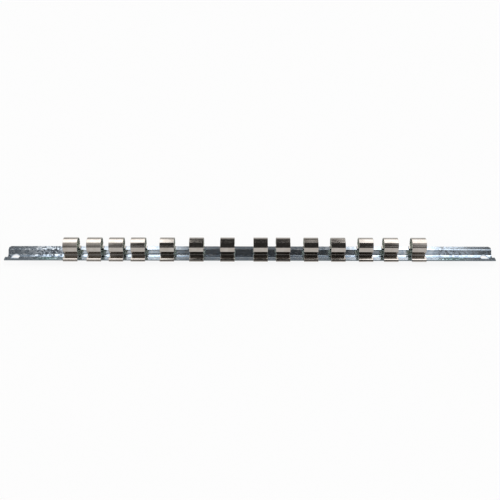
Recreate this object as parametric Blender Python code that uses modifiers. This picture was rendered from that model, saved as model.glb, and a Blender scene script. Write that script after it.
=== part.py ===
"""A socket rail: a pressed steel channel with fourteen spring clips that slide along it.

Metres, +Z up. The origin is the middle of the channel floor's underside, which is the face
that lies on the wall or bench. +X runs along the rail and -Y is its front.
"""

import math

import bmesh
import bpy
from mathutils import Matrix, Vector

MM = 0.001

# The rail: one strip of sheet steel pressed into an open channel with two outward lips.
RAIL_LENGTH = 400.0 * MM
RAIL_WIDTH = 20.5 * MM
RAIL_HEIGHT = 4.9 * MM
SHEET = 0.9 * MM
LIP_WIDTH = 4.9 * MM
RAIL_BEND_RADIUS = 0.9 * MM
CORNER_CLIP = 1.5 * MM

# One screw hole near each end, in the middle of the channel floor. Beside it the front wall and
# the inner part of the front lip are cut out, and a narrow bridge stays along the lip's edge.
SCREW_HOLE_DIAMETER = 6.8 * MM
SCREW_HOLE_INSET = 6.6 * MM
CUT_OUT_LENGTH = 6.2 * MM
CUT_OUT_INSET = 8.2 * MM
BRIDGE_WIDTH = 1.8 * MM

# The clip: one strip of spring steel, bent to a loop on a narrow waist, with a hooked foot on
# each side. Its arms are a little narrower at the neck, between the feet and the loop. Rises are
# measured from the top of the rail's lips.
CLIP_WIDTH = 11.7 * MM
CLIP_SHEET = 0.5 * MM
LOOP_WIDTH = 14.0 * MM
LOOP_RISE = 8.3 * MM
CROWN_RISE = 13.5 * MM
SHOULDER_RISE = 5.4 * MM
SHOULDER_RADIUS = 1.6 * MM
WAIST_WIDTH = 9.8 * MM
WAIST_RISE = 2.7 * MM
WAIST_RADIUS = 1.2 * MM
FOOT_BEND_RADIUS = 0.7 * MM
HOOK_RETURN = 2.6 * MM
NECK_WIDTH = 10.5 * MM
NECK_LOW_RISE = 1.2 * MM
NECK_HIGH_RISE = 4.6 * MM

# Where each clip stands along the rail, as shares of the rail's length from its middle.
CLIP_PLACE_SHARES = (
    -0.3655, -0.3174, -0.2722, -0.2278, -0.1688, -0.1088, -0.0457,
    0.0218, 0.0677, 0.1246, 0.1799, 0.2363, 0.2874, 0.3443,
)

CLEARANCE = 0.3 * MM
CUT_OVERRUN = 2.0 * MM
BEND_STEPS = 5
CROWN_STEPS = 24
HOLE_STEPS = 32

ZINC = ((0.56, 0.61, 0.63, 1.0), 0.24, 1.0)
NICKEL = ((0.74, 0.71, 0.66, 1.0), 0.14, 1.0)


def clear_scene():
    for thing in list(bpy.data.objects):
        bpy.data.objects.remove(thing)


def new_collection(name):
    collection = bpy.data.collections.new(name)
    bpy.context.scene.collection.children.link(collection)
    return collection


def metal(name, colour, roughness, metallic):
    """A plated steel finish."""
    material = bpy.data.materials.new(name)
    material.use_nodes = True
    shader = material.node_tree.nodes["Principled BSDF"]
    shader.inputs["Base Color"].default_value = colour
    shader.inputs["Roughness"].default_value = roughness
    shader.inputs["Metallic"].default_value = metallic
    return material


def rounded(corners):
    """Follows the corners (y, z, bend radius) of a bent strip and rounds each bend to an arc."""
    line = []
    for i, (y, z, radius) in enumerate(corners):
        here = Vector((y, z))
        if radius <= 0 or i in (0, len(corners) - 1):
            line.append(here)
            continue
        back = (Vector(corners[i - 1][:2]) - here).normalized()
        ahead = (Vector(corners[i + 1][:2]) - here).normalized()
        half = back.angle(ahead) / 2
        centre = here + (back + ahead).normalized() * radius / math.sin(half)
        start = here + back * radius / math.tan(half) - centre
        turn = start.angle_signed(here + ahead * radius / math.tan(half) - centre)
        line += [
            centre + Matrix.Rotation(-turn * step / BEND_STEPS, 2) @ start
            for step in range(BEND_STEPS + 1)
        ]
    return line


def bent_strip(name, line, widths):
    """The mesh of a strip: its middle line in Y and Z, drawn out along X to each point's width."""
    shape = bmesh.new()
    points = [shape.verts.new((-width / 2, y, z)) for (y, z), width in zip(line, widths)]
    edges = [shape.edges.new(pair) for pair in zip(points, points[1:])]
    drawn = bmesh.ops.extrude_edge_only(shape, edges=edges)["geom"]
    for item in drawn:
        if isinstance(item, bmesh.types.BMVert):
            item.co.x = -item.co.x
    bmesh.ops.recalc_face_normals(shape, faces=shape.faces[:])
    mesh = bpy.data.meshes.new(name)
    shape.to_mesh(mesh)
    shape.free()
    return mesh


def strip_object(name, mesh, sheet, material, collection):
    """A strip's object, with the sheet's thickness laid evenly on both sides of the middle line."""
    strip = bpy.data.objects.new(name, mesh)
    collection.objects.link(strip)
    if not mesh.materials:
        mesh.materials.append(material)
    thickness = strip.modifiers.new("sheet", "SOLIDIFY")
    thickness.thickness = sheet
    thickness.offset = 0
    thickness.use_even_offset = True
    return strip


def cutter_object(name, shape, place, collection):
    """Turns a bmesh into a hidden cutter at its place."""
    mesh = bpy.data.meshes.new(name)
    shape.to_mesh(mesh)
    shape.free()
    cutter = bpy.data.objects.new(name, mesh)
    cutter.location = place
    cutter.display_type = "WIRE"
    cutter.hide_render = True
    collection.objects.link(cutter)
    return cutter


def box_cutter(name, low, high, collection):
    shape = bmesh.new()
    bmesh.ops.create_cube(shape, size=1)
    size = Vector(high) - Vector(low)
    bmesh.ops.scale(shape, verts=shape.verts[:], vec=size)
    return cutter_object(name, shape, (Vector(low) + Vector(high)) / 2, collection)


def corner_cutter(name, corner, inward, collection):
    """A box whose slanted side cuts a corner of the plan off; inward is that corner's sign pair."""
    shape = bmesh.new()
    bmesh.ops.create_cube(shape, size=1)
    side = 2 * CORNER_CLIP
    tall = RAIL_HEIGHT + 2 * CUT_OVERRUN
    bmesh.ops.scale(shape, verts=shape.verts[:], vec=(side, side, tall))
    bmesh.ops.rotate(shape, verts=shape.verts[:], matrix=Matrix.Rotation(math.radians(45), 3, "Z"))
    reach = side / 2 - CORNER_CLIP / math.sqrt(2)
    away = Vector((-inward[0], -inward[1])).normalized() * reach
    place = (corner[0] + away.x, corner[1] + away.y, RAIL_HEIGHT / 2)
    return cutter_object(name, shape, place, collection)


def hole_cutter(name, x, collection):
    shape = bmesh.new()
    bmesh.ops.create_cone(
        shape, cap_ends=True, segments=HOLE_STEPS, radius1=SCREW_HOLE_DIAMETER / 2,
        radius2=SCREW_HOLE_DIAMETER / 2, depth=SHEET + 2 * CUT_OVERRUN,
    )
    return cutter_object(name, shape, (x, 0, SHEET / 2), collection)


def cut(target, cutter):
    knife = target.modifiers.new(cutter.name, "BOOLEAN")
    knife.operation = "DIFFERENCE"
    knife.solver = "EXACT"
    knife.object = cutter


def rail_line():
    """The middle line of the channel's section, from the front lip's edge to the rear lip's."""
    edge = RAIL_WIDTH / 2
    wall = edge - LIP_WIDTH + SHEET / 2
    low = SHEET / 2
    high = RAIL_HEIGHT - SHEET / 2
    front = [
        (-edge, high, 0),
        (-wall, high, RAIL_BEND_RADIUS),
        (-wall, low, RAIL_BEND_RADIUS),
    ]
    rear = [(-y, z, radius) for y, z, radius in reversed(front)]
    return rounded(front + rear)


def build_rail(collection, cutters):
    line = rail_line()
    mesh = bent_strip("rail", line, [RAIL_LENGTH] * len(line))
    rail = strip_object("rail", mesh, SHEET, metal("zinc plated steel", *ZINC), collection)
    end = RAIL_LENGTH / 2
    front = -RAIL_WIDTH / 2
    floor_front = front + LIP_WIDTH + SHEET
    for side, sign in (("left", -1), ("right", 1)):
        middle = sign * (end - CUT_OUT_INSET)
        window = box_cutter(
            f"{side} cut out",
            (middle - CUT_OUT_LENGTH / 2, front + BRIDGE_WIDTH, -CUT_OVERRUN),
            (middle + CUT_OUT_LENGTH / 2, floor_front, RAIL_HEIGHT + CUT_OVERRUN),
            cutters,
        )
        cut(rail, window)
        corner = (sign * end, RAIL_WIDTH / 2)
        cut(rail, corner_cutter(f"{side} corner", corner, (-sign, -1), cutters))
        cut(rail, hole_cutter(f"{side} screw hole", sign * (end - SCREW_HOLE_INSET), cutters))
    return rail


def crown_line(half_width, spring, top):
    """The crown's half ellipse, from its front springing point over the top to the rear one."""
    return [
        Vector((-half_width * math.cos(turn), spring + (top - spring) * math.sin(turn)))
        for turn in (math.pi * step / CROWN_STEPS for step in range(CROWN_STEPS + 1))
    ]


def clip_line():
    """The middle line of the clip: hook, foot, waist, shoulder and crown, and the same back down."""
    half = CLIP_SHEET / 2
    side = LOOP_WIDTH / 2 - half
    spring = RAIL_HEIGHT + LOOP_RISE
    foot = RAIL_HEIGHT + CLEARANCE + half
    hook = RAIL_HEIGHT - SHEET - CLEARANCE - half
    outside = RAIL_WIDTH / 2 + CLEARANCE + half
    hook_radius = CLEARANCE + half
    waist = WAIST_WIDTH / 2 - half
    front = rounded([
        (-(outside - HOOK_RETURN), hook, 0),
        (-outside, hook, hook_radius),
        (-outside, foot, hook_radius),
        (-waist, foot, FOOT_BEND_RADIUS),
        (-waist, RAIL_HEIGHT + WAIST_RISE, WAIST_RADIUS),
        (-side, RAIL_HEIGHT + SHOULDER_RISE, SHOULDER_RADIUS),
        (-side, spring, 0),
    ])[:-1]
    rear = [Vector((-point.x, point.y)) for point in reversed(front)]
    return front + crown_line(side, spring, RAIL_HEIGHT + CROWN_RISE - half) + rear


def clip_widths(line):
    """The clip's width at each point of its line, narrower at the neck."""
    low, high = RAIL_HEIGHT + NECK_LOW_RISE, RAIL_HEIGHT + NECK_HIGH_RISE
    return [NECK_WIDTH if low < point.y < high else CLIP_WIDTH for point in line]


def build_clips(collection):
    finish = metal("nickel plated spring steel", *NICKEL)
    line = clip_line()
    mesh = bent_strip("clip", line, clip_widths(line))
    for number, share in enumerate(CLIP_PLACE_SHARES, 1):
        clip = strip_object(f"clip_{number:02d}", mesh, CLIP_SHEET, finish, collection)
        clip.location.x = share * RAIL_LENGTH


clear_scene()
parts = new_collection("socket rail")
guides = new_collection("cutters")
build_rail(parts, guides)
build_clips(parts)
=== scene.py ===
"""The looks of a socket rail: a zinc plated channel with fourteen nickel plated spring clips."""

import math

import bmesh
import bpy
from mathutils import Euler, Matrix, Vector


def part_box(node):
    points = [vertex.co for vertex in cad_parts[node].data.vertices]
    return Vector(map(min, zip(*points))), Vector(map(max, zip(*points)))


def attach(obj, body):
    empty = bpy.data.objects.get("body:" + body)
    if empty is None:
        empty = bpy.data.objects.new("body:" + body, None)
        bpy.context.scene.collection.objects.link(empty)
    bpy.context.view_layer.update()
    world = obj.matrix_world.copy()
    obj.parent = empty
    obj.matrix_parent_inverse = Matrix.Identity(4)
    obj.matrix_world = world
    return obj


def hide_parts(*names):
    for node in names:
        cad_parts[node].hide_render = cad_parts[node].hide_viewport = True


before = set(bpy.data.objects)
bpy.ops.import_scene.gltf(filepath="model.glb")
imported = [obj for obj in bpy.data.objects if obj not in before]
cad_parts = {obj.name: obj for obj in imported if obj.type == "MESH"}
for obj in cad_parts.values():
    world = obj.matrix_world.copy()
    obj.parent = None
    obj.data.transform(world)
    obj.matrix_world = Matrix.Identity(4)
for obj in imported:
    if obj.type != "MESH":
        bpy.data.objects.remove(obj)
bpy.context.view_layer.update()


# The rail is one strip of zinc plated sheet steel, sheared to size and pressed into an open channel
# whose walls slant in to a flat floor. Its two outward lips stand a little proud at their edges.
# Beside each screw hole the front wall and the inner part of its lip are cut out.
MM = 0.001
RAIL_SHEET = 0.9 * MM
RAIL_LIP = 4.9 * MM
LIP_BEND = 1.0 * MM
FLOOR_BEND = 2.6 * MM
WALL_SLANT = 2.4 * MM
LIP_LIFT = 0.2 * MM
RAIL_EDGE_ROUND = 0.14 * MM
CORNER_CLIP = 1.5 * MM
HOLE_DIAMETER = 6.8 * MM
HOLE_INSET = 6.6 * MM
HOLE_SIDES = 64
CUT_OUT_LENGTH = 6.2 * MM
CUT_OUT_INSET = 8.2 * MM
BRIDGE_WIDTH = 1.8 * MM
OVERRUN = 2.0 * MM
BEND_SEGMENTS = 8
EDGE_SEGMENTS = 3
EDGE_ANGLE = math.radians(50)
SAME_PLACE = 0.01 * MM

rail_low, rail_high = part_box("rail")
rail_front, rail_rear = rail_low.y, rail_high.y
rail_end = rail_high.x


def deselect():
    """Nothing is selected in object mode, so that the next operator sees only what it should."""
    if bpy.context.object and bpy.context.object.mode != "OBJECT":
        bpy.ops.object.mode_set(mode="OBJECT")
    bpy.ops.object.select_all(action="DESELECT")


def make_active(thing):
    deselect()
    thing.select_set(True)
    bpy.context.view_layer.objects.active = thing


def folded_strip(name, corners, length):
    """A flat strip, folded along its length: corners are (y, z, bend radius) of its middle line."""
    folds = [corner[:2] for corner in corners]
    deselect()
    bpy.ops.mesh.primitive_plane_add(size=1)
    strip = bpy.context.object
    strip.name = strip.data.name = name
    shape = bmesh.new()
    shape.from_mesh(strip.data)
    for point in shape.verts:
        fold = folds[0] if point.co.y < 0 else folds[1]
        point.co = (math.copysign(length / 2, point.co.x), *fold)
    shape.to_mesh(strip.data)
    shape.free()
    bpy.ops.object.mode_set(mode="EDIT")
    bpy.ops.mesh.select_mode(type="EDGE")
    for (y, z), (next_y, next_z) in zip(folds[1:], folds[2:]):
        select_fold(strip, y, z)
        move = (0, next_y - y, next_z - z)
        bpy.ops.mesh.extrude_region_move(TRANSFORM_OT_translate={"value": move})
    for i, (y, z, radius) in enumerate(corners):
        if radius:
            select_fold(strip, y, z)
            back = Vector(folds[i - 1]) - Vector(folds[i])
            ahead = Vector(folds[i + 1]) - Vector(folds[i])
            reach = radius / math.tan(back.angle(ahead) / 2)
            bpy.ops.mesh.bevel(offset=reach, segments=BEND_SEGMENTS, profile=0.5)
    bpy.ops.mesh.select_all(action="SELECT")
    bpy.ops.mesh.normals_make_consistent(inside=False)
    bpy.ops.object.mode_set(mode="OBJECT")
    return strip


def select_fold(strip, y, z):
    """In edit mode, selects the edge that runs along X at (y, z)."""
    shape = bmesh.from_edit_mesh(strip.data)
    bpy.ops.mesh.select_all(action="DESELECT")
    for edge in shape.edges:
        if all(math.dist((end.co.y, end.co.z), (y, z)) < SAME_PLACE for end in edge.verts):
            edge.select = True
    shape.select_flush_mode()
    bmesh.update_edit_mesh(strip.data)


def thicken(strip, sheet):
    """Gives a folded strip its sheet's thickness, half on each side of the middle line."""
    make_active(strip)
    wall = strip.modifiers.new("sheet", "SOLIDIFY")
    wall.thickness = sheet
    wall.offset = 0
    wall.use_even_offset = True
    bpy.ops.object.modifier_apply(modifier=wall.name)


def soften_edges(strip, width):
    """The rounded edge that shearing and plating leave. Flat faces stay flat when smooth."""
    make_active(strip)
    bevel = strip.modifiers.new("edges", "BEVEL")
    bevel.width = width
    bevel.segments = EDGE_SEGMENTS
    bevel.limit_method = "ANGLE"
    bevel.angle_limit = EDGE_ANGLE
    bpy.ops.object.modifier_apply(modifier=bevel.name)
    bpy.ops.object.shade_smooth()
    flats = strip.modifiers.new("flats", "WEIGHTED_NORMAL")
    flats.keep_sharp = True
    bpy.ops.object.modifier_apply(modifier=flats.name)


def cut_away(strip, cutter):
    """Cuts the cutter's shape out of the strip and deletes the cutter."""
    make_active(strip)
    knife = strip.modifiers.new("cut", "BOOLEAN")
    knife.object = cutter
    knife.operation = "DIFFERENCE"
    knife.solver = "EXACT"
    bpy.ops.object.modifier_apply(modifier=knife.name)
    bpy.data.objects.remove(cutter)


def cutting_box(low, high):
    deselect()
    low, high = Vector(low), Vector(high)
    bpy.ops.mesh.primitive_cube_add(size=1, location=(low + high) / 2, scale=high - low)
    return bpy.context.object


rail_lip_height = rail_high.z - RAIL_SHEET / 2
rail_floor_height = rail_low.z + RAIL_SHEET / 2
rail_wall = rail_rear - RAIL_LIP + RAIL_SHEET / 2
rail_corners = [
    (rail_front, rail_lip_height, 0),
    (-rail_wall, rail_lip_height - LIP_LIFT, LIP_BEND),
    (-(rail_wall - WALL_SLANT), rail_floor_height, FLOOR_BEND),
    (rail_wall - WALL_SLANT, rail_floor_height, FLOOR_BEND),
    (rail_wall, rail_lip_height - LIP_LIFT, LIP_BEND),
    (rail_rear, rail_lip_height, 0),
]
rail = folded_strip("plated_rail", rail_corners, rail_high.x - rail_low.x)
thicken(rail, RAIL_SHEET)
for sign in (-1, 1):
    middle = sign * (rail_end - CUT_OUT_INSET)
    cut_away(rail, cutting_box(
        (middle - CUT_OUT_LENGTH / 2, rail_front + BRIDGE_WIDTH, -OVERRUN),
        (middle + CUT_OUT_LENGTH / 2, rail_front + RAIL_LIP + RAIL_SHEET, rail_high.z + OVERRUN),
    ))
    deselect()
    bpy.ops.mesh.primitive_cube_add(
        size=1, location=(sign * rail_end, rail_rear, rail_high.z / 2),
        rotation=(0, 0, math.radians(45)),
        scale=(CORNER_CLIP * math.sqrt(2), CORNER_CLIP * math.sqrt(2), rail_high.z + 2 * OVERRUN),
    )
    cut_away(rail, bpy.context.object)
    deselect()
    bpy.ops.mesh.primitive_cylinder_add(
        vertices=HOLE_SIDES, radius=HOLE_DIAMETER / 2, depth=RAIL_SHEET + 2 * OVERRUN,
        location=(sign * (rail_end - HOLE_INSET), 0, 0),
    )
    cut_away(rail, bpy.context.object)
soften_edges(rail, RAIL_EDGE_ROUND)

WAVES_PER_METRE = 160
WAVE_DETAIL = 2
STREAK_DETAIL = 6
STREAK_SHARE = 0.25
STREAKS_LOW, STREAKS_HIGH = 0.3, 0.7


def rolled_plate():
    """Grain that all the plated sheet shares: a surface height and a mask of fine streaks."""
    group = bpy.data.node_groups.new("rolled plate", "ShaderNodeTree")
    sockets = group.interface
    sockets.new_socket("Streak Stretch", in_out="INPUT", socket_type="NodeSocketFloat")
    sockets.new_socket("Grain Scale", in_out="INPUT", socket_type="NodeSocketFloat")
    sockets.new_socket("Height", in_out="OUTPUT", socket_type="NodeSocketFloat")
    sockets.new_socket("Streaks", in_out="OUTPUT", socket_type="NodeSocketFloat")
    nodes, links = group.nodes, group.links
    given = nodes.new("NodeGroupInput")
    result = nodes.new("NodeGroupOutput")
    place = nodes.new("ShaderNodeTexCoord")
    stretch = nodes.new("ShaderNodeCombineXYZ")
    stretch.inputs["Y"].default_value = 1
    stretch.inputs["Z"].default_value = 1
    links.new(given.outputs["Streak Stretch"], stretch.inputs["X"])
    drawn = nodes.new("ShaderNodeVectorMath")
    drawn.operation = "MULTIPLY"
    links.new(place.outputs["Object"], drawn.inputs[0])
    links.new(stretch.outputs["Vector"], drawn.inputs[1])
    streaks = nodes.new("ShaderNodeTexNoise")
    streaks.inputs["Detail"].default_value = STREAK_DETAIL
    links.new(drawn.outputs["Vector"], streaks.inputs["Vector"])
    links.new(given.outputs["Grain Scale"], streaks.inputs["Scale"])
    links.new(streaks.outputs["Fac"], result.inputs["Streaks"])
    waves = nodes.new("ShaderNodeTexNoise")
    waves.inputs["Scale"].default_value = WAVES_PER_METRE
    waves.inputs["Detail"].default_value = WAVE_DETAIL
    links.new(place.outputs["Object"], waves.inputs["Vector"])
    both = nodes.new("ShaderNodeMath")
    both.operation = "MULTIPLY_ADD"
    both.inputs[1].default_value = STREAK_SHARE
    links.new(streaks.outputs["Fac"], both.inputs[0])
    links.new(waves.outputs["Fac"], both.inputs[2])
    links.new(both.outputs["Value"], result.inputs["Height"])
    return group


plate_grain = rolled_plate()


def new_material(name):
    material = bpy.data.materials.new(name)
    material.use_nodes = True
    return material, material.node_tree.nodes, material.node_tree.links


def grain_node(nodes, stretch, per_metre):
    """The plated sheet's grain, placed in a material with its own streaks."""
    grain = nodes.new("ShaderNodeGroup")
    grain.node_tree = plate_grain
    grain.inputs["Streak Stretch"].default_value = stretch
    grain.inputs["Grain Scale"].default_value = per_metre
    return grain


def grain_bump(nodes, links, grain, strength, depth):
    bump = nodes.new("ShaderNodeBump")
    bump.inputs["Strength"].default_value = strength
    bump.inputs["Distance"].default_value = depth
    links.new(grain.outputs["Height"], bump.inputs["Height"])
    return bump


def ramp(nodes, stops):
    """A colour ramp with the given (place, colour) stops."""
    node = nodes.new("ShaderNodeValToRGB")
    marks = node.color_ramp.elements
    marks[0].position, marks[0].color = stops[0][0], (*stops[0][1], 1)
    marks[1].position, marks[1].color = stops[-1][0], (*stops[-1][1], 1)
    for position, colour in stops[1:-1]:
        marks.new(position).color = (*colour, 1)
    return node


def spread(nodes, links, value, low, high, to_low, to_high):
    """A value between low and high, spread evenly over to_low to to_high and held at the ends."""
    node = nodes.new("ShaderNodeMapRange")
    names = ("From Min", "From Max", "To Min", "To Max")
    for name, level in zip(names, (low, high, to_low, to_high)):
        node.inputs[name].default_value = level
    links.new(value, node.inputs["Value"])
    return node.outputs["Result"]


def streaked_roughness(nodes, links, grain, smoothest, roughest):
    streaks = grain.outputs["Streaks"]
    return spread(nodes, links, streaks, STREAKS_LOW, STREAKS_HIGH, smoothest, roughest)


def math_node(nodes, links, operation, *values):
    """A Math node's result, each value a socket or a plain number."""
    node = nodes.new("ShaderNodeMath")
    node.operation = operation
    for socket, value in zip(node.inputs, values):
        if isinstance(value, (int, float)):
            socket.default_value = value
        else:
            links.new(value, socket)
    return node.outputs["Value"]


def mixed(nodes, links, share, first, second):
    """Two colours mixed by a share, each one a socket or a plain colour."""
    node = nodes.new("ShaderNodeMixRGB")
    links.new(share, node.inputs["Fac"])
    for socket, colour in ((node.inputs["Color1"], first), (node.inputs["Color2"], second)):
        if isinstance(colour, tuple):
            socket.default_value = (*colour, 1)
        else:
            links.new(colour, socket)
    return node.outputs["Color"]


ZINC_PALE = (0.65, 0.70, 0.75)
ZINC_BLUE = (0.50, 0.59, 0.69)
ZINC_DARK = (0.26, 0.30, 0.35)
ZINC_TEAL = (0.30, 0.47, 0.46)
ZINC_SHEARED = (0.17, 0.20, 0.22)
PLAIN_STOPS = [(0.15, ZINC_BLUE), (0.85, ZINC_PALE)]
FLECKED_STOPS = [(0.1, ZINC_DARK), (0.5, ZINC_BLUE), (0.9, ZINC_PALE)]
ZINC_SMOOTHEST, ZINC_ROUGHEST = 0.08, 0.16
ZINC_STREAK_STRETCH = 0.06
ZINC_STREAKS_PER_METRE = 2200
ZINC_BUMP = 0.3
ZINC_BUMP_DEPTH = 0.04 * MM
SPANGLES_PER_METRE = 620
SPANGLE_LEAN = 0.05
PATCH_START = 150 * MM
PATCH_FULL = 158 * MM
PATCH_FADE = 170 * MM
PATCH_END = 178 * MM
PATCH_BEFORE = 0.1
PATCH_AFTER = 0.3
TINT_MIDDLE = 165 * MM
TINT_REACH = 16 * MM
TINT_FULL_Y = -5.2 * MM
TINT_END_Y = -4.4 * MM
TINT_STRENGTH = 0.9
SHEARED_INSET = 0.12 * MM
SHEARED_ROUGHNESS = 0.4


def zinc_plate():
    """A bluish plate, flecked near the rail's ends where its crystals lean a little each way.

    A greenish tint is put on parts of the front lip near both ends. Sheared edges are darker.
    """
    material, nodes, links = new_material("bright zinc plate")
    shader = nodes["Principled BSDF"]
    shader.inputs["Metallic"].default_value = 1
    place = nodes.new("ShaderNodeTexCoord").outputs["Object"]
    parts = nodes.new("ShaderNodeSeparateXYZ")
    links.new(place, parts.inputs["Vector"])
    along = math_node(nodes, links, "ABSOLUTE", parts.outputs["X"])
    patch = spread(nodes, links, along, PATCH_START, PATCH_FULL, PATCH_BEFORE, 1)
    fade = spread(nodes, links, along, PATCH_FADE, PATCH_END, 1, PATCH_AFTER)
    patch = math_node(nodes, links, "MULTIPLY", patch, fade)
    grain = grain_node(nodes, ZINC_STREAK_STRETCH, ZINC_STREAKS_PER_METRE)
    spangle = nodes.new("ShaderNodeTexVoronoi")
    spangle.inputs["Scale"].default_value = SPANGLES_PER_METRE
    links.new(place, spangle.inputs["Vector"])
    tone = nodes.new("ShaderNodeSeparateColor")
    links.new(spangle.outputs["Color"], tone.inputs["Color"])
    plain = ramp(nodes, PLAIN_STOPS)
    links.new(tone.outputs["Red"], plain.inputs["Fac"])
    flecked = ramp(nodes, FLECKED_STOPS)
    links.new(tone.outputs["Red"], flecked.inputs["Fac"])
    # The greenish tint, round TINT_MIDDLE from the middle at each end, on the front lip only.
    from_tint = math_node(nodes, links, "SUBTRACT", along, TINT_MIDDLE)
    from_tint = math_node(nodes, links, "ABSOLUTE", from_tint)
    tint = spread(nodes, links, from_tint, 0, TINT_REACH, TINT_STRENGTH, 0)
    on_front = spread(nodes, links, parts.outputs["Y"], TINT_FULL_Y, TINT_END_Y, 1, 0)
    tint = math_node(nodes, links, "MULTIPLY", tint, on_front)
    across = math_node(nodes, links, "ABSOLUTE", parts.outputs["Y"])
    sheared = math_node(nodes, links, "GREATER_THAN", across, rail_rear - SHEARED_INSET)
    colour = mixed(nodes, links, patch, plain.outputs["Color"], flecked.outputs["Color"])
    colour = mixed(nodes, links, tint, colour, ZINC_TEAL)
    colour = mixed(nodes, links, sheared, colour, ZINC_SHEARED)
    links.new(colour, shader.inputs["Base Color"])
    rough = streaked_roughness(nodes, links, grain, ZINC_SMOOTHEST, ZINC_ROUGHEST)
    cut_rough = math_node(nodes, links, "MULTIPLY", sheared, SHEARED_ROUGHNESS)
    rough = math_node(nodes, links, "MAXIMUM", rough, cut_rough)
    links.new(rough, shader.inputs["Roughness"])
    centred = nodes.new("ShaderNodeVectorMath")
    centred.operation = "SUBTRACT"
    links.new(spangle.outputs["Color"], centred.inputs[0])
    centred.inputs[1].default_value = (0.5, 0.5, 0.5)
    lean = nodes.new("ShaderNodeVectorMath")
    lean.operation = "SCALE"
    links.new(centred.outputs["Vector"], lean.inputs[0])
    links.new(math_node(nodes, links, "MULTIPLY", patch, SPANGLE_LEAN), lean.inputs["Scale"])
    leaning = nodes.new("ShaderNodeVectorMath")
    links.new(lean.outputs["Vector"], leaning.inputs[0])
    links.new(nodes.new("ShaderNodeNewGeometry").outputs["Normal"], leaning.inputs[1])
    bump = grain_bump(nodes, links, grain, ZINC_BUMP, ZINC_BUMP_DEPTH)
    links.new(leaning.outputs["Vector"], bump.inputs["Normal"])
    links.new(bump.outputs["Normal"], shader.inputs["Normal"])
    return material


rail.data.materials.append(zinc_plate())
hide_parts("rail")
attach(rail, "rail")


# Each clip is one strip of spring steel, bent to a loop on a narrow waist, which springs into a
# socket's square drive. Its arms flare out to two feet with sloping brims, which lie on the
# rail's lips and hook round their edges, so that it slides but stays on. It is nickel plated.
CLIP_SHEET = 0.5 * MM
CLIP_EDGE_ROUND = 0.11 * MM
CLIP_CLEARANCE = 0.3 * MM
LOOP_WIDTH = 14.0 * MM
LOOP_RISE = 8.3 * MM
SHOULDER_RISE = 5.4 * MM
SHOULDER_RADIUS = 1.6 * MM
WAIST_WIDTH = 9.8 * MM
WAIST_RISE = 2.2 * MM
WAIST_RADIUS = 1.0 * MM
ARM_FLARE = 0.6 * MM
FOOT_BEND = 0.6 * MM
FOOT_BRIM = 1.2 * MM
BRIM_BEND = 0.35 * MM
BRIM_DROP = 0.42 * MM
FOLD_INSET = 0.29 * MM
FOLD_DROP = 1.15 * MM
FOLD_BEND = 0.3 * MM
HOOK_BEND = 0.45 * MM
HOOK_RETURN = 2.6 * MM
NECK_WIDTH = 10.5 * MM
NECK_LOW_RISE = 1.2 * MM
NECK_HIGH_RISE = 4.6 * MM
CROWN_STEPS = 48
CLIP_COUNT = 14
INWARD_LEAST = 1.0 * MM

half_sheet = CLIP_SHEET / 2
clip_low, clip_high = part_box("clip_01")
clip_width = clip_high.x - clip_low.x
clip_outside = clip_high.y - half_sheet
clip_foot = rail_high.z + CLIP_CLEARANCE + half_sheet
clip_hook = clip_low.z + half_sheet
clip_side = LOOP_WIDTH / 2 - half_sheet
clip_waist = WAIST_WIDTH / 2 - half_sheet
clip_spring = rail_high.z + LOOP_RISE
clip_top = clip_high.z - half_sheet
clip_front = [
    (-(clip_outside - HOOK_RETURN), clip_hook, 0),
    (-clip_outside, clip_hook, HOOK_BEND),
    (-clip_outside, clip_foot - FOLD_DROP, FOLD_BEND),
    (-(clip_outside - FOLD_INSET), clip_foot - BRIM_DROP, FOLD_BEND),
    (-(clip_outside - FOOT_BRIM), clip_foot, BRIM_BEND),
    (-(clip_waist + ARM_FLARE), clip_foot, FOOT_BEND),
    (-clip_waist, rail_high.z + WAIST_RISE, WAIST_RADIUS),
    (-clip_side, rail_high.z + SHOULDER_RISE, SHOULDER_RADIUS),
]
clip_crown = [
    (-clip_side * math.cos(turn), clip_spring + (clip_top - clip_spring) * math.sin(turn), 0)
    for turn in (math.pi * step / CROWN_STEPS for step in range(CROWN_STEPS + 1))
]
clip_rear = [(-y, z, radius) for y, z, radius in reversed(clip_front)]


def narrow_neck(strip):
    """The blank is cut a little narrower where the arms spring, between the feet and the loop."""
    make_active(strip)
    bpy.ops.object.mode_set(mode="EDIT")
    bpy.ops.mesh.select_mode(type="VERT")
    bpy.ops.mesh.select_all(action="DESELECT")
    shape = bmesh.from_edit_mesh(strip.data)
    for point in shape.verts:
        point.select = NECK_LOW_RISE < point.co.z - rail_high.z < NECK_HIGH_RISE
    shape.select_flush_mode()
    bmesh.update_edit_mesh(strip.data)
    share = NECK_WIDTH / clip_width
    bpy.ops.transform.resize(value=(share, 1, 1), center_override=(0, 0, 0))
    bpy.ops.object.mode_set(mode="OBJECT")


def mark_inside(strip):
    """Marks the faces that look into the loop, where the plating bath leaves a duller skin and
    where a pale greenish reflection is painted.
    """
    mark = strip.data.attributes.new("inside", "FLOAT", "FACE")
    for face in strip.data.polygons:
        outward = face.normal.y * face.center.y + face.normal.z * (face.center.z - clip_spring)
        above_foot = face.center.z > clip_foot + CLIP_SHEET
        mark.data[face.index].value = float(above_foot and outward < -INWARD_LEAST)


first_clip = folded_strip("spring_clip", clip_front + clip_crown + clip_rear, clip_width)
narrow_neck(first_clip)
thicken(first_clip, CLIP_SHEET)
soften_edges(first_clip, CLIP_EDGE_ROUND)
mark_inside(first_clip)

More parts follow.
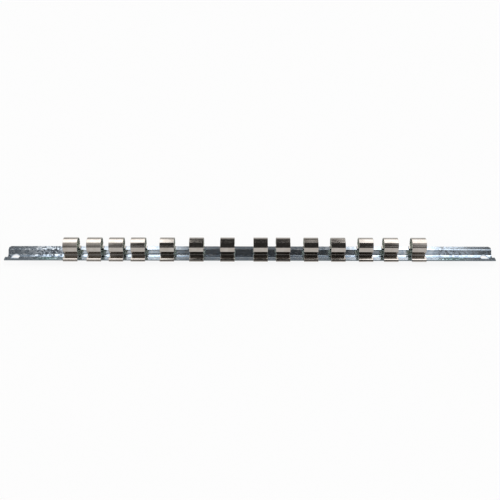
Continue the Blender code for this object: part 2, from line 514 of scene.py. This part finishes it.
NICKEL_WARM = (0.40, 0.365, 0.33)
NICKEL_PALE = (0.455, 0.425, 0.395)
# A pale greenish painted reflection for the loop's inner faces, paler than the plate outside.
PAINTED_INSIDE_REFLECTION = (0.62, 0.64, 0.56)
NICKEL_STOPS = [(0.35, NICKEL_WARM), (0.65, NICKEL_PALE)]
CLOUDS_PER_METRE = 240
CLOUD_DETAIL = 3
NICKEL_SMOOTHEST, NICKEL_ROUGHEST = 0.07, 0.13
INSIDE_ROUGHER = 0.35
NICKEL_STREAK_STRETCH = 0.2
NICKEL_STREAKS_PER_METRE = 1500
NICKEL_BUMP = 0.2
NICKEL_BUMP_DEPTH = 0.02 * MM


def nickel_plate():
    material, nodes, links = new_material("bright nickel plate")
    shader = nodes["Principled BSDF"]
    shader.inputs["Metallic"].default_value = 1
    place = nodes.new("ShaderNodeTexCoord")
    grain = grain_node(nodes, NICKEL_STREAK_STRETCH, NICKEL_STREAKS_PER_METRE)
    clouds = nodes.new("ShaderNodeTexNoise")
    clouds.inputs["Scale"].default_value = CLOUDS_PER_METRE
    clouds.inputs["Detail"].default_value = CLOUD_DETAIL
    links.new(place.outputs["Object"], clouds.inputs["Vector"])
    tint = ramp(nodes, NICKEL_STOPS)
    links.new(clouds.outputs["Fac"], tint.inputs["Fac"])
    inside = nodes.new("ShaderNodeAttribute")
    inside.attribute_name = "inside"
    # The inner faces get the painted reflection colour; the rougher skin below is their own.
    colour = mixed(nodes, links, inside.outputs["Fac"], tint.outputs["Color"], PAINTED_INSIDE_REFLECTION)
    links.new(colour, shader.inputs["Base Color"])
    rough = streaked_roughness(nodes, links, grain, NICKEL_SMOOTHEST, NICKEL_ROUGHEST)
    duller = math_node(nodes, links, "MULTIPLY", inside.outputs["Fac"], INSIDE_ROUGHER)
    links.new(math_node(nodes, links, "ADD", rough, duller), shader.inputs["Roughness"])
    bump = grain_bump(nodes, links, grain, NICKEL_BUMP, NICKEL_BUMP_DEPTH)
    links.new(bump.outputs["Normal"], shader.inputs["Normal"])
    return material


nickel = nickel_plate()
for number in range(1, CLIP_COUNT + 1):
    node = f"clip_{number:02d}"
    low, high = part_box(node)
    clip = first_clip.copy()
    clip.data = first_clip.data.copy()
    clip.name = clip.data.name = f"plated_{node}"
    bpy.context.scene.collection.objects.link(clip)
    clip.data.transform(Matrix.Translation(((low.x + high.x) / 2, 0, 0)))
    clip.data.materials.append(nickel)
    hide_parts(node)
    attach(clip, node)
bpy.data.objects.remove(first_clip)


# The studio: a white table under a dome of soft panels. The metal mirrors the dome, so its panels
# stand where the metal should show light: bright to both sides, with a dim gap over the middle.
# Past the rail's two ends the whole dome is bright, as in a white room.
FLOOR_SIZE = 30
FLOOR_TINT = (0.95, 0.948, 0.945)
FLOOR_ROUGHNESS = 0.9
WHITE_SHARE = 0.88


def table():
    """The table, which the camera and the metal see nearly white, with a faint shadow."""
    deselect()
    bpy.ops.mesh.primitive_plane_add(size=FLOOR_SIZE)
    floor = bpy.context.object
    floor.name = "table"
    material, nodes, links = new_material("white table")
    shader = nodes["Principled BSDF"]
    shader.inputs["Base Color"].default_value = (*FLOOR_TINT, 1)
    shader.inputs["Roughness"].default_value = FLOOR_ROUGHNESS
    shader.inputs["Specular IOR Level"].default_value = 0
    white = nodes.new("ShaderNodeEmission")
    white.inputs["Strength"].default_value = 1
    ray = nodes.new("ShaderNodeLightPath").outputs
    seen = math_node(nodes, links, "MAXIMUM", ray["Is Camera Ray"], ray["Is Glossy Ray"])
    seen = math_node(nodes, links, "MAXIMUM", seen, ray["Is Transmission Ray"])
    mix = nodes.new("ShaderNodeMixShader")
    links.new(math_node(nodes, links, "MULTIPLY", seen, WHITE_SHARE), mix.inputs["Fac"])
    links.new(shader.outputs["BSDF"], mix.inputs[1])
    links.new(white.outputs["Emission"], mix.inputs[2])
    links.new(mix.outputs["Shader"], nodes["Material Output"].inputs["Surface"])
    floor.data.materials.append(material)


def window(nodes, links, angle, low, high, soft):
    """One inside low to high degrees of an angle, and zero outside, with soft borders."""
    levels = []
    for edge, rising in ((low, True), (high, False)):
        node = nodes.new("ShaderNodeMapRange")
        node.interpolation_type = "SMOOTHSTEP"
        node.inputs["From Min"].default_value = math.radians(edge - soft)
        node.inputs["From Max"].default_value = math.radians(edge + soft)
        node.inputs["To Min"].default_value = 0 if rising else 1
        node.inputs["To Max"].default_value = 1 if rising else 0
        links.new(angle, node.inputs["Value"])
        levels.append(node.outputs["Result"])
    return math_node(nodes, links, "MULTIPLY", *levels)


DOME_DARK = 0.045
ROUND_SOFTNESS = 2
# Each panel, in degrees: from and to along the rail from its middle, from and to round the rail
# (from the rear horizon, over the top, to the front), softness along the rail. Then brightness.
PANELS = [
    (-90, 90, -10, 24, 4.0, 0.85),
    (-26, -13.4, 24, 150, 1.0, 0.16),
    (-13.4, -8.0, 28, 42, 0.8, 1.20),
    (-8.4, -5.2, 28, 42, 1.4, 2.00),
    (-13.6, -5.0, 42, 89, 0.5, 2.80),
    (-13.8, -8.0, 87, 106, 1.2, 0.85),
    (-13.8, -8.7, 106, 122, 1.2, 0.75),
    (-13.8, -9.6, 122, 140, 0.8, 0.50),
    (-13.8, -9.9, 140, 156, 0.8, 0.32),
    (-13.8, -7.5, 156, 178, 1.0, 0.22),
    (-13.6, -5.4, 143.5, 150, 1.0, 0.85),
    (-5.2, 6.4, 24, 40, 1.0, 0.20),
    (3.5, 4.8, 42, 87, 0.4, 0.80),
    (6.4, 12, 28, 42, 1.4, 2.00),
    (11, 13.6, 28, 42, 0.5, 2.00),
    (13.6, 26, 24, 62, 0.8, 0.14),
    (6.9, 13.8, 42, 62, 0.6, 2.80),
    (6.9, 26, 62, 87, 0.6, 2.80),
    (10.0, 14.2, 87, 106, 2.0, 1.10),
    (10.4, 14.2, 106, 122, 1.4, 0.85),
    (10.6, 14.4, 122, 140, 0.8, 0.52),
    (10.6, 14.4, 140, 178, 0.8, 0.28),
    (8.4, 12, 143.5, 150, 1.2, 0.80),
    (11, 13.8, 143.5, 150, 0.5, 1.10),
    (-90, -26, -10, 190, 4.0, 1.20),
    (26, 90, -10, 190, 4.0, 1.20),
]


def dome():
    """The world: the brightest panel in each direction, and a dim grey where there is none."""
    world = bpy.data.worlds.new("studio")
    bpy.context.scene.world = world
    world.use_nodes = True
    nodes, links = world.node_tree.nodes, world.node_tree.links
    sky = nodes["Background"]
    place = nodes.new("ShaderNodeTexCoord")
    parts = nodes.new("ShaderNodeSeparateXYZ")
    links.new(place.outputs["Generated"], parts.inputs["Vector"])
    along = math_node(nodes, links, "ARCSINE", parts.outputs["X"])
    around = math_node(nodes, links, "ARCTAN2", parts.outputs["Z"], parts.outputs["Y"])
    level = DOME_DARK
    for low, high, from_turn, to_turn, soft, brightness in PANELS:
        lit = math_node(
            nodes, links, "MULTIPLY",
            window(nodes, links, along, low, high, soft),
            window(nodes, links, around, from_turn, to_turn, ROUND_SOFTNESS),
        )
        lit = math_node(nodes, links, "MULTIPLY", lit, brightness)
        level = math_node(nodes, links, "MAXIMUM", level, lit)
    links.new(level, sky.inputs["Color"])
    sky.inputs["Strength"].default_value = 1


table()
dome()


# The camera stands about an arm's length in front of the rail and looks down on it. Its lens and
# its small shift put the rail where the photograph has it: SPAN_FORWARD in front of its middle,
# the rail's length spans RAIL_SPAN_PIXELS.
CAMERA_DISTANCE = 700 * MM
CAMERA_RISE = math.radians(33)
CAMERA_ROLL = math.radians(0.09)
CLIP_START = 0.01
PICTURE_PIXELS = 500
RAIL_SPAN_PIXELS = 486.8
SPAN_FORWARD = 4.5 * MM
RAIL_ROW = 258.0
RAIL_COLUMN = 249.9
SENSOR_WIDTH = 36


def camera():
    length = rail_high.x - rail_low.x
    depth = CAMERA_DISTANCE - SPAN_FORWARD * math.cos(CAMERA_RISE)
    focal_pixels = RAIL_SPAN_PIXELS / length * depth
    below_centre = RAIL_ROW - PICTURE_PIXELS / 2
    aim = CAMERA_RISE - math.atan(below_centre / focal_pixels)
    lens = bpy.data.cameras.new("camera")
    lens.sensor_width = SENSOR_WIDTH
    lens.lens = focal_pixels / PICTURE_PIXELS * SENSOR_WIDTH
    lens.clip_start = CLIP_START
    lens.shift_x = (PICTURE_PIXELS / 2 - RAIL_COLUMN) / PICTURE_PIXELS
    view = bpy.data.objects.new("camera", lens)
    bpy.context.scene.collection.objects.link(view)
    place = (0, -CAMERA_DISTANCE * math.cos(CAMERA_RISE), CAMERA_DISTANCE * math.sin(CAMERA_RISE))
    tilt = Euler((math.pi / 2 - aim, 0, 0)).to_matrix().to_4x4()
    view.matrix_world = Matrix.Translation(place) @ tilt @ Matrix.Rotation(CAMERA_ROLL, 4, "Z")
    bpy.context.scene.camera = view


camera()
bpy.context.scene.view_settings.view_transform = "Standard"
